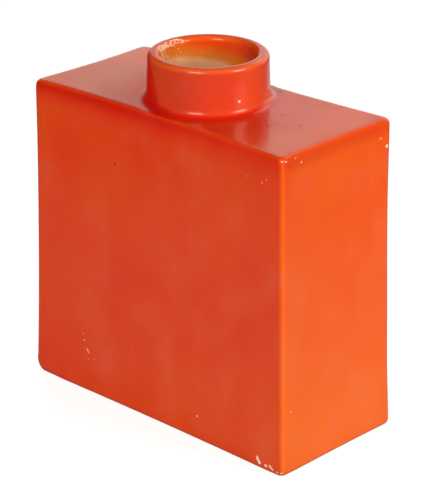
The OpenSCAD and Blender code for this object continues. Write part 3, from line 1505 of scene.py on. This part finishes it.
@dataclass(frozen=True)
class FiredFinish:
    """The vase's one surface: glaze over clay, with its marks.

    Attributes:
        glaze: The glaze.
        clay: The clay under it.
        zones: Where the glaze lies thick and thin, and where shade and reflections are painted.
        patterns: What it is clouded by.
        relief: Its fine relief.
        mark_edge: Shares of a mark's radius over which it fades in.
        name: Name of the material.
    """

    glaze: Glaze = field(default_factory=Glaze)
    clay: Clay = field(default_factory=Clay)
    zones: Zones = field(default_factory=Zones)
    patterns: Patterns = field(default_factory=Patterns)
    relief: Relief = field(default_factory=Relief)
    mark_edge: Span = (1.2, 0.7)
    name: str = "orange_glaze_over_clay"

    def _ground(self, graph: Graph, neck: Neck) -> Ground:
        """Return the coordinates and patterns of a new material.

        Args:
            graph: The material's nodes.
            neck: The neck.

        Returns:
            The coordinates and patterns.
        """
        kinds = self.patterns
        spot = graph.node("ShaderNodeTexCoord").outputs["Object"]
        scaled = graph.node("ShaderNodeVectorMath", {"operation": "SCALE"}, {0: spot, "Scale": 1.0 / MM})
        place = scaled.outputs[0]
        parts = graph.node("ShaderNodeSeparateXYZ", None, {0: place})
        x, y, z = (Value(graph, output) for output in parts.outputs)
        level = graph.node("ShaderNodeCombineXYZ", None, {0: x, 1: y}).outputs[0]
        upright = graph.vector("MULTIPLY", place, kinds.smear_stretch).outputs[0]
        haze, smear = graph.noise(place, kinds.haze), graph.noise(upright, kinds.smear)
        return Ground(
            neck=neck,
            place=place,
            x=x,
            y=y,
            z=z,
            reach=Value(graph, graph.vector("LENGTH", level).outputs["Value"]),
            cloud=graph.noise(place, kinds.cloud),
            haze=haze,
            smear=smear,
            grain=graph.noise(place, kinds.grain),
            peel=graph.noise(place, kinds.peel),
            dust=graph.noise(place, kinds.dust),
            bloom_and_sheen=haze.eased(*kinds.bloom_haze) * (0.5 + 0.5 * smear.eased(*kinds.bloom_smear)),
            edge=graph.attribute(Layer.EDGE),
        )

    def _stirred(self, graph: Graph, place: bpy.types.NodeSocket) -> bpy.types.NodeSocket:
        """Return the coordinates, slightly stirred so that marks painted by them are ragged.

        Args:
            graph: The material's nodes.
            place: Coordinates in millimetres.

        Returns:
            The stirred coordinates.
        """
        kinds = self.patterns
        noisy = graph.node("ShaderNodeTexNoise", None, {"Vector": place, "Scale": 1.0 / kinds.stir_size})
        moved = graph.vector("MULTIPLY_ADD", noisy.outputs["Color"], (kinds.stir,) * 3, place).outputs[0]
        return graph.vector("SUBTRACT", moved, (kinds.stir / 2,) * 3).outputs[0]

    def _marks(self, graph: Graph, place: bpy.types.NodeSocket, marks: Sequence[Mark],
               kind: MarkKind) -> Value:
        """Return the mask of all blemishes of one kind.

        Args:
            graph: The material's nodes.
            place: Stirred coordinates in millimetres.
            marks: All marks.
            kind: The kind to paint.

        Returns:
            The mask.
        """
        spots = []
        for mark in marks:
            if mark.kind is kind:
                away = Value(graph, graph.vector("DISTANCE", place, mark.place).outputs["Value"])
                spots.append(away.eased(*(mark.radius * share for share in self.mark_edge)))
        return reduce(or_, spots)

    def _thinness_and_shading(self, on: Ground, masks: Masks) -> Value:
        """Return how far the coat turns from its red, 0, to its orange, 1, with painted shade and painted
        light in it.

        Args:
            on: Coordinates and patterns.
            masks: Zones of the glaze.

        Returns:
            The share of the orange.
        """
        glaze = self.glaze
        thin = glaze.thinness + glaze.end_thinning * masks.ends
        # Painted light: the end walls turn more orange towards the foot.
        thin = thin + glaze.foot_painted_light * masks.ends * on.z.eased(on.neck.base, 0.0)
        # Painted shade: redder just under the shoulder's edge of the broad walls.
        thin = thin + glaze.top_thinning * (1.0 - masks.walled) - glaze.edge_shade_red * masks.edge_shaded
        # Partly pooled coat and partly painted shade: redder in the cove.
        thin = thin - glaze.cove_pool_and_shade_red * masks.coved + glaze.edge_thinning * on.edge
        # Painted shade: the neck is redder on its shaded side, and more so on the slanted streak there.
        left = glaze.shaded_flank_reddening * masks.shaded_flank + glaze.streak_reddening * masks.slant_streak
        thin = thin + (glaze.neck_thinning - left) * masks.necked
        thin = thin + glaze.cloud_change * (on.cloud - 0.5) + glaze.smear_change * (on.smear - 0.5)
        return thin + glaze.grain_change * (on.grain - 0.5)

    def _depth_and_shade(self, on: Ground, masks: Masks) -> Value:
        """Return the share of the deep colour, 0 to 1: partly pooled coat in the cove, and painted shade
        and a painted reflection.

        Args:
            on: Coordinates and patterns.
            masks: Zones of the glaze.

        Returns:
            The share of the deep colour.
        """
        glaze, zones = self.glaze, self.zones
        kept = 1.0 - glaze.cove_loss * masks.beyond
        # Painted shade just under the shoulder's edge of the broad and end walls.
        run = glaze.broad_edge_shade * on.height(zones.broad_edge_shade) * masks.broad * masks.leftward
        # Painted reflection: the neck's dark mirror image on the shoulder in front of it.
        run = run | glaze.end_edge_shade * on.height(zones.end_edge_shade) * masks.ends | glaze.neck_reflection_deep * masks.neck_reflection
        # Partly pooled coat and partly painted shade round the cove and in it, deeper on the neck's shaded
        # side.
        run = run | (glaze.cove_pool_and_shade + glaze.cove_shaded_side_deep * masks.shaded_flank_and_streak) * masks.coved * kept
        run = run | (glaze.ring_pool_and_shade + glaze.ring_shaded_side_deep * masks.shaded_flank) * masks.ring * kept
        # Painted shade on the inner wall of the mouth on the neck's lit side.
        run = run | glaze.mouth_shade * masks.under * masks.mouth
        # Painted shade on the neck, with less of it on its shaded side, its streak and its lit side.
        lost = glaze.left_loss * masks.shaded_flank + glaze.streak_loss * masks.slant_streak
        run = run | (glaze.neck_shade - lost - glaze.right_loss * masks.lit_flank) * masks.necked
        return run * (1.0 - glaze.edge_loss * on.edge) * (1.0 - glaze.crest_loss * masks.crest)

    def _coat(self, graph: Graph, on: Ground, masks: Masks) -> bpy.types.NodeSocket:
        """Return the colour of the glaze, by how thickly it lies on each part of the vase, with its painted
        shade, light, reflection and sheen.

        Args:
            graph: The material's nodes.
            on: Coordinates and patterns.
            masks: Zones of the glaze.

        Returns:
            The colour.
        """
        glaze, zones = self.glaze, self.zones
        plain = graph.mix(self._thinness_and_shading(on, masks), glaze.red, glaze.orange)
        paint = graph.mix(self._depth_and_shade(on, masks), plain, glaze.deep)
        # Painted sheen: the clouded patches of the walls, and an even veil on the neck, are mixed towards
        # pale pink.
        walls = on.bloom_and_sheen * on.height(zones.clouded_wall)
        sheen_veil = (glaze.neck_sheen + (1.0 - glaze.neck_sheen) * on.bloom_and_sheen) * (1.0 - masks.shaded_flank_and_streak)
        sheen_veil = sheen_veil * on.height(zones.clouded_neck) * (1.0 - masks.mouth)
        return graph.mix(glaze.clouding * (walls | sheen_veil), paint, glaze.bloom_and_sheen)

    def material(self, marks: Sequence[Mark], outline: Outline, neck: Neck) -> bpy.types.Material:
        """Return the finish as a material.

        Args:
            marks: Blemishes in their places on the shell.
            outline: Plan of the body.
            neck: The neck, inside which the glaze ends.

        Returns:
            The material.
        """
        glaze, clay, zones, relief = self.glaze, self.clay, self.zones, self.relief
        made = bpy.data.materials.new(self.name)
        made.use_nodes = True
        graph = Graph(made.node_tree)
        on = self._ground(graph, neck)
        masks = zones.masks(on, outline, glaze)
        stirred = self._stirred(graph, on.place)
        pinholes = self._marks(graph, stirred, marks, MarkKind.PINHOLE)
        pits = self._marks(graph, stirred, marks, MarkKind.PIT)
        paint = graph.mix(glaze.pit_strength * pits, self._coat(graph, on, masks), glaze.pit)

        foot = on.z.eased(*(neck.ceiling + height for height in zones.bore_foot))
        inside = on.from_bore(zones.bore) & foot
        spray = on.z + on.towards(glaze.spray_side) * (glaze.spray_tilt / (2.0 * neck.bore))
        for rag, pattern in zip(glaze.spray_rag, (on.haze, on.grain, on.dust)):
            spray = spray + rag * (pattern - 0.5)
        thinned = inside * spray.eased(*glaze.wash_span)
        dry = (inside * spray.eased(*glaze.dry_span)) | graph.attribute(Layer.BARE).eased(*clay.bare)
        paint = graph.mix(thinned, paint, glaze.wash)
        stains = clay.stain_strength * on.haze.eased(*clay.stain_haze)
        paint = graph.mix(dry, paint, graph.mix(stains, clay.raw, clay.stain))

        within = on.from_bore(zones.lip_inside) * on.height(zones.lip_foot)
        crumbs = (clay.crumbs + clay.mouth_crumbs * within) * (on.grain - 0.5)
        chipped = (graph.attribute(Layer.CHIP) + crumbs).eased(*clay.chip) | pinholes
        aged = clay.mouth_age * within | clay.age * on.grain.eased(*clay.age_grain)
        paint = graph.mix(chipped, paint, graph.mix(aged, clay.fresh, clay.raw))

        matt = dry | chipped
        rough = glaze.roughness + glaze.bloom_roughness * on.bloom_and_sheen
        rough = rough + glaze.grain_roughness * (on.grain - 0.5)
        rough = rough + matt * (clay.roughness - glaze.roughness)
        gloss = (glaze.gloss - glaze.bloom_dulling * on.bloom_and_sheen) * (1.0 - (matt | glaze.pit_dulling * pits))
        gloss = gloss * (1.0 - glaze.wash_dulling * thinned) * (1.0 - glaze.side_dulling * masks.dulled)
        swell = relief.peel * on.peel + relief.haze * on.haze
        swell = swell + matt * (relief.dust * on.dust + relief.grain * on.grain)
        swell = swell - relief.pinhole * pinholes - relief.pit * pits
        sockets = {"Strength": 1.0, "Distance": MM * relief.depth, "Height": swell}
        bump = graph.node("ShaderNodeBump", None, sockets)

        shader = graph.node("ShaderNodeBsdfPrincipled", None, {
            "Base Color": paint, "Roughness": rough, "Coat Weight": gloss, "Normal": bump.outputs[0],
            "IOR": glaze.refraction, "Specular IOR Level": glaze.sheen,
            "Coat Roughness": glaze.gloss_roughness, "Coat IOR": glaze.refraction})
        graph.node("ShaderNodeOutputMaterial", None, {"Surface": shader.outputs[0]})
        return made


@dataclass
class Vase:
    """The vase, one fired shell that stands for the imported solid.

    Attributes:
        outline: Plan of the body.
        foot: Underside and foot.
        walls: Walls and the shoulder's edge.
        neck: Neck, lip and bore.
        hollow: Space inside.
        wear: Chips and marks.
        finish: The fired surface.
        name: Name of the piece.
        weld: Distance within which vertices are merged, in millimetres.
        marks: Small blemishes in their places, once it is built.
    """

    outline: Outline = field(default_factory=Outline)
    foot: Foot = field(default_factory=Foot)
    walls: Walls = field(default_factory=Walls)
    neck: Neck = field(default_factory=Neck)
    hollow: Hollow = field(default_factory=Hollow)
    wear: Wear = field(default_factory=Wear)
    finish: FiredFinish = field(default_factory=FiredFinish)
    name: str = "vase_glazed"
    weld: float = 1e-4
    marks: list[Mark] = field(default_factory=list)

    def build(self) -> bpy.types.Object:
        """Draw the shell, wear it and put it in the scene.

        Returns:
            The vase's object.
        """
        skin = self.foot.start(self.outline)
        self.foot.draw(skin, self.outline)
        rim = self.walls.draw(skin, self.outline, self.foot, self.neck.root + self.neck.cove)
        rays = self.neck.draw(skin, rim)
        self.hollow.draw(skin, self.outline, self.neck, rays)
        shell = skin.mesh
        bmesh.ops.remove_doubles(shell, verts=shell.verts, dist=self.weld)
        bmesh.ops.recalc_face_normals(shell, faces=shell.faces)
        shell.normal_update()
        self.marks = self.wear.settle(shell)
        self.wear.apply(skin, self.neck)
        for face in shell.faces:
            face.smooth = True
        bmesh.ops.scale(shell, vec=(MM, MM, MM), verts=shell.verts)
        mesh = bpy.data.meshes.new(self.name)
        shell.to_mesh(mesh)
        shell.free()
        made = bpy.data.objects.new(self.name, mesh)
        bpy.context.scene.collection.objects.link(made)
        return made

    def dress(self, made: bpy.types.Object) -> None:
        """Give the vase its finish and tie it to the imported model.

        Args:
            made: The vase's object.
        """
        made.data.materials.append(self.finish.material(self.marks, self.outline, self.neck))
        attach(made, "root")
        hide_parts("vase")


def bearing(azimuth: float, elevation: float) -> Vector:
    """Return a direction, with azimuth 0 towards -Y and 90 towards +X, in degrees."""
    turn, rise = math.radians(azimuth), math.radians(elevation)
    return Vector((math.sin(turn) * math.cos(rise), -math.cos(turn) * math.cos(rise), math.sin(rise)))


@dataclass(frozen=True)
class SoftBox:
    """A square soft light that faces the vase.

    Attributes:
        name: Name of the light.
        azimuth: Direction it shines from, in degrees.
        elevation: Height above the floor, in degrees.
        side: Side of the square, in metres.
        level: Light that it gives a white face turned to it, 1 for full white.
        tint: Colour of the light.
        mirrored: Whether the glaze shows it as a highlight.
        distance: Distance from the vase, in metres.
    """

    name: str
    azimuth: float
    elevation: float
    side: float
    level: float
    tint: Colour = WHITE
    mirrored: bool = True
    distance: float = 1.7

    def hang(self, middle: Vector) -> None:
        """Put the light in the scene.

        Args:
            middle: The point that it faces.
        """
        lamp = bpy.data.lights.new(self.name, "AREA")
        lamp.shape = "SQUARE"
        lamp.size = self.side
        lamp.energy = self.level * (math.pi * self.distance) ** 2
        lamp.color = self.tint
        away = bearing(self.azimuth, self.elevation)
        made = bpy.data.objects.new(self.name, lamp)
        made.location = middle + away * self.distance
        made.rotation_euler = away.to_track_quat("Z", "Y").to_euler()
        made.visible_camera = False
        made.visible_glossy = self.mirrored
        bpy.context.scene.collection.objects.link(made)


@dataclass(frozen=True)
class Studio:
    """Pale floor, white backdrop, soft lights and the camera.

    Attributes:
        lights: The soft lights.
        floor_radius: Radius of the floor, in metres.
        floor_segments: Sides of the floor's edge.
        floor_drop: How far the floor lies under the foot, in metres.
        paper_near: Shade of the floor's paper round the vase.
        paper_far: Shade of the floor's paper out of the light.
        paper_fade: Distances from the vase between which the one turns into the other, in metres.
        white: Brightness at which the floor is seen, 1 or more for full white.
        floor_level: Light that falls on the floor round the vase.
        floor_mirror: Share of the floor's added white in the glaze's mirror image.
        gleam: More of that share on a bright patch of the floor behind the vase.
        gleam_place: Middle of that patch, in metres.
        gleam_fade: Distances from its middle between which it ends, in metres.
        backdrop_azimuth: Direction of the backdrop from the vase, in degrees.
        backdrop_distance: Distance of the backdrop behind the vase, in metres.
        backdrop_size: Width and height of the backdrop, in metres.
        backdrop_shift: How far the backdrop's middle lies to one side, in metres.
        backdrop_fade: Distances to that side between which its mirror image fades, in metres.
        backdrop_top: Heights between which its mirror image fades, in metres.
        backdrop_mirror: Share of the backdrop's white in the glaze's mirror image.
        backdrop_tint: Colour of the backdrop, a warm white.
        room_mirror: White of the rest of the room in the glaze's mirror image.
        ambient: Light of the room on the vase.
        lens: Focal length of the camera, in millimetres.
        azimuth: Direction of the camera, in degrees.
        elevation: Height of the camera, in degrees.
        distance: Distance of the camera from its target, in metres.
        target: Point that the camera faces, in metres.
    """

    lights: tuple[SoftBox, ...] = (
        SoftBox("light_end", 107.0, 13.0, 0.70, 0.49, mirrored=False),
        SoftBox("light_front", 17.0, 16.0, 0.80, 0.524, mirrored=False),
        SoftBox("light_behind", 235.0, 8.0, 0.70, 0.75, mirrored=False),
        SoftBox("glint_end", 105.0, 29.0, 0.62, 0.36, WARM),
        SoftBox("glint_front", 19.5, 36.0, 0.62, 0.30, WARM),
        SoftBox("glint_back", 188.0, 40.0, 0.50, 0.04),
    )
    floor_radius: float = 4.0
    floor_segments: int = 96
    floor_drop: float = 0.0001
    paper_near: float = 0.34
    paper_far: float = 0.08
    paper_fade: Span = (0.24, 0.46)
    white: float = 1.05
    floor_level: float = 0.66
    floor_mirror: float = 0.02
    gleam: float = 0.55
    gleam_place: tuple[float, float, float] = (-0.12, 0.40, 0.0)
    gleam_fade: Span = (0.26, 0.12)
    backdrop_azimuth: float = 195.0
    backdrop_distance: float = 2.4
    backdrop_size: tuple[float, float] = (5.2, 2.6)
    backdrop_shift: float = 0.8
    backdrop_fade: Span = (3.2, 1.5)
    backdrop_top: Span = (2.6, 1.35)
    backdrop_mirror: float = 0.93
    backdrop_tint: Colour = (1.0, 0.955, 0.83)
    room_mirror: float = 0.015
    ambient: float = 0.12
    lens: float = 163.4
    azimuth: float = 43.575
    elevation: float = 22.859
    distance: float = 1.09922
    target: tuple[float, float, float] = (0.002604, 0.002478, 0.080445)

    def _rays(self, graph: Graph) -> tuple[Value, ...]:
        """Return the masks of rays that show a surface.

        Args:
            graph: The material's or the world's nodes.

        Returns:
            The masks of rays from the camera, off the glaze and through clear things.
        """
        path = graph.node("ShaderNodeLightPath")
        return tuple(Value(graph, path.outputs[name])
                     for name in ("Is Camera Ray", "Is Glossy Ray", "Is Transmission Ray"))

    def _paper(self, graph: Graph, tone: float, lift: float, mirror: Value | float,
               tint: Colour = WHITE) -> bpy.types.NodeSocket:
        """Return pale paper that reads as white where it is seen and still takes shadows.

        Args:
            graph: The material's nodes.
            tone: Shade of the paper.
            lift: White that it adds where it is seen.
            mirror: Share of that white in mirror images.
            tint: Colour of that white.

        Returns:
            The shader's output.
        """
        matt = graph.node("ShaderNodeBsdfDiffuse", None, {"Color": (tone, tone, tone, 1.0)})
        glow = graph.node("ShaderNodeEmission", None, {"Color": (*tint, 1.0), "Strength": lift})
        none = graph.node("ShaderNodeEmission", None, {"Strength": 0.0})
        camera, glossy, clear = self._rays(graph)
        shown = camera | clear | mirror * glossy
        seen = graph.node("ShaderNodeMixShader", None, {0: shown, 1: none.outputs[0], 2: glow.outputs[0]})
        return graph.node("ShaderNodeAddShader", None, {0: matt.outputs[0], 1: seen.outputs[0]}).outputs[0]

    def _floor_paper(self) -> bpy.types.Material:
        """Return the floor's paper, lit round the vase and shaded further out.

        Returns:
            The material.
        """
        made = bpy.data.materials.new("floor_paper")
        made.use_nodes = True
        graph = Graph(made.node_tree)
        spot = graph.node("ShaderNodeTexCoord").outputs["Object"]
        fade = Value(graph, graph.vector("LENGTH", spot).outputs["Value"]).eased(*self.paper_fade)
        away = Value(graph, graph.vector("DISTANCE", spot, self.gleam_place).outputs["Value"])
        mirror = self.floor_mirror + self.gleam * away.eased(*self.gleam_fade)
        papers = [self._paper(graph, tone, self.white - tone * self.floor_level, mirror)
                  for tone in (self.paper_near, self.paper_far)]
        both = graph.node("ShaderNodeMixShader", None, {0: fade, 1: papers[0], 2: papers[1]})
        graph.node("ShaderNodeOutputMaterial", None, {"Surface": both.outputs[0]})
        return made

    def _sideways(self) -> Vector:
        """Return the direction along the backdrop in which its mirror image fades."""
        return bearing(self.backdrop_azimuth + RIGHT_ANGLE, 0.0)

    def _backdrop_paper(self) -> bpy.types.Material:
        """Return the backdrop's white paper, whose mirror image fades to one side and upwards.

        Returns:
            The material.
        """
        made = bpy.data.materials.new("backdrop_paper")
        made.use_nodes = True
        graph = Graph(made.node_tree)
        spot = graph.node("ShaderNodeTexCoord").outputs["Object"]
        along = Value(graph, graph.vector("DOT_PRODUCT", spot, self._sideways()).outputs["Value"])
        rise = Value(graph, graph.vector("DOT_PRODUCT", spot, (0.0, 0.0, 1.0)).outputs["Value"])
        faded = along.eased(*self.backdrop_fade) * rise.eased(*self.backdrop_top)
        mirror = self.backdrop_mirror * faded
        sheet = self._paper(graph, self.paper_near, 1.0, mirror, self.backdrop_tint)
        graph.node("ShaderNodeOutputMaterial", None, {"Surface": sheet})
        return made

    def _stand(self, name: str, sheet: bmesh.types.BMesh, paper: bpy.types.Material) -> None:
        """Put a sheet of paper in the scene as part of the stage.

        Args:
            name: Name of the sheet.
            sheet: Its mesh, which is used up.
            paper: Its material.
        """
        mesh = bpy.data.meshes.new(name)
        sheet.to_mesh(mesh)
        sheet.free()
        made = bpy.data.objects.new(name, mesh)
        made.data.materials.append(paper)
        bpy.context.scene.collection.objects.link(made)

    def lay_floor(self) -> None:
        """Lay the floor."""
        sheet = bmesh.new()
        bmesh.ops.create_circle(sheet, cap_ends=True, segments=self.floor_segments,
                                radius=self.floor_radius)
        bmesh.ops.translate(sheet, vec=(0.0, 0.0, -self.floor_drop), verts=sheet.verts)
        self._stand("floor", sheet, self._floor_paper())

    def hang_backdrop(self) -> None:
        """Hang the white backdrop behind the vase, facing it."""
        width, height = self.backdrop_size
        sheet = bmesh.new()
        bmesh.ops.create_grid(sheet, x_segments=1, y_segments=1, size=0.5)
        bmesh.ops.scale(sheet, vec=(width, height, 1.0), verts=sheet.verts)
        upright = Matrix.Rotation(QUARTER, 4, "X")
        turn = Matrix.Rotation(math.radians(self.backdrop_azimuth), 4, "Z") @ upright
        away = bearing(self.backdrop_azimuth, 0.0) * self.backdrop_distance
        away += self._sideways() * self.backdrop_shift + Vector((0.0, 0.0, height / 2))
        bmesh.ops.transform(sheet, matrix=Matrix.Translation(away) @ turn, verts=sheet.verts)
        self._stand("backdrop", sheet, self._backdrop_paper())

    def surround(self) -> None:
        """Make the room white where it is seen and dim where it only lights."""
        world = bpy.data.worlds.new("white_surround")
        world.use_nodes = True
        graph = Graph(world.node_tree)
        skies = [graph.node("ShaderNodeBackground", None, {"Color": (*WHITE, 1.0), "Strength": strength})
                 for strength in (self.ambient, self.room_mirror, 1.0)]
        dim, dusk, full = (sky.outputs[0] for sky in skies)
        camera, glossy, clear = self._rays(graph)
        unseen = graph.node("ShaderNodeMixShader", None, {0: glossy, 1: dim, 2: dusk}).outputs[0]
        both = graph.node("ShaderNodeMixShader", None, {0: camera | clear, 1: unseen, 2: full})
        graph.node("ShaderNodeOutputWorld", None, {"Surface": both.outputs[0]})
        bpy.context.scene.world = world

    def set_camera(self) -> None:
        """Put the camera where the photograph was taken from."""
        lens = bpy.data.cameras.new("camera")
        lens.lens = self.lens
        back = bearing(self.azimuth, self.elevation)
        made = bpy.data.objects.new("camera", lens)
        made.location = Vector(self.target) + back * self.distance
        made.rotation_euler = back.to_track_quat("Z", "Y").to_euler()
        bpy.context.scene.collection.objects.link(made)
        bpy.context.scene.camera = made

    def build(self) -> None:
        """Set up the floor, the backdrop, the room, the lights and the camera."""
        self.lay_floor()
        self.hang_backdrop()
        self.surround()
        for light in self.lights:
            light.hang(Vector((0.0, 0.0, self.target[2])))
        self.set_camera()
        bpy.context.scene.view_settings.view_transform = "Standard"


def main() -> None:
    """Build the studio and the vase."""
    logging.basicConfig(level=logging.INFO, format="%(message)s")
    Studio().build()
    LOG.info("studio: floor, backdrop, surround, lights and camera")
    vase = Vase()
    made = vase.build()
    vase.dress(made)
    LOG.info("%s: %d faces, %d marks", made.name, len(made.data.polygons), len(vase.marks))


if __name__ == "__main__":
    main()
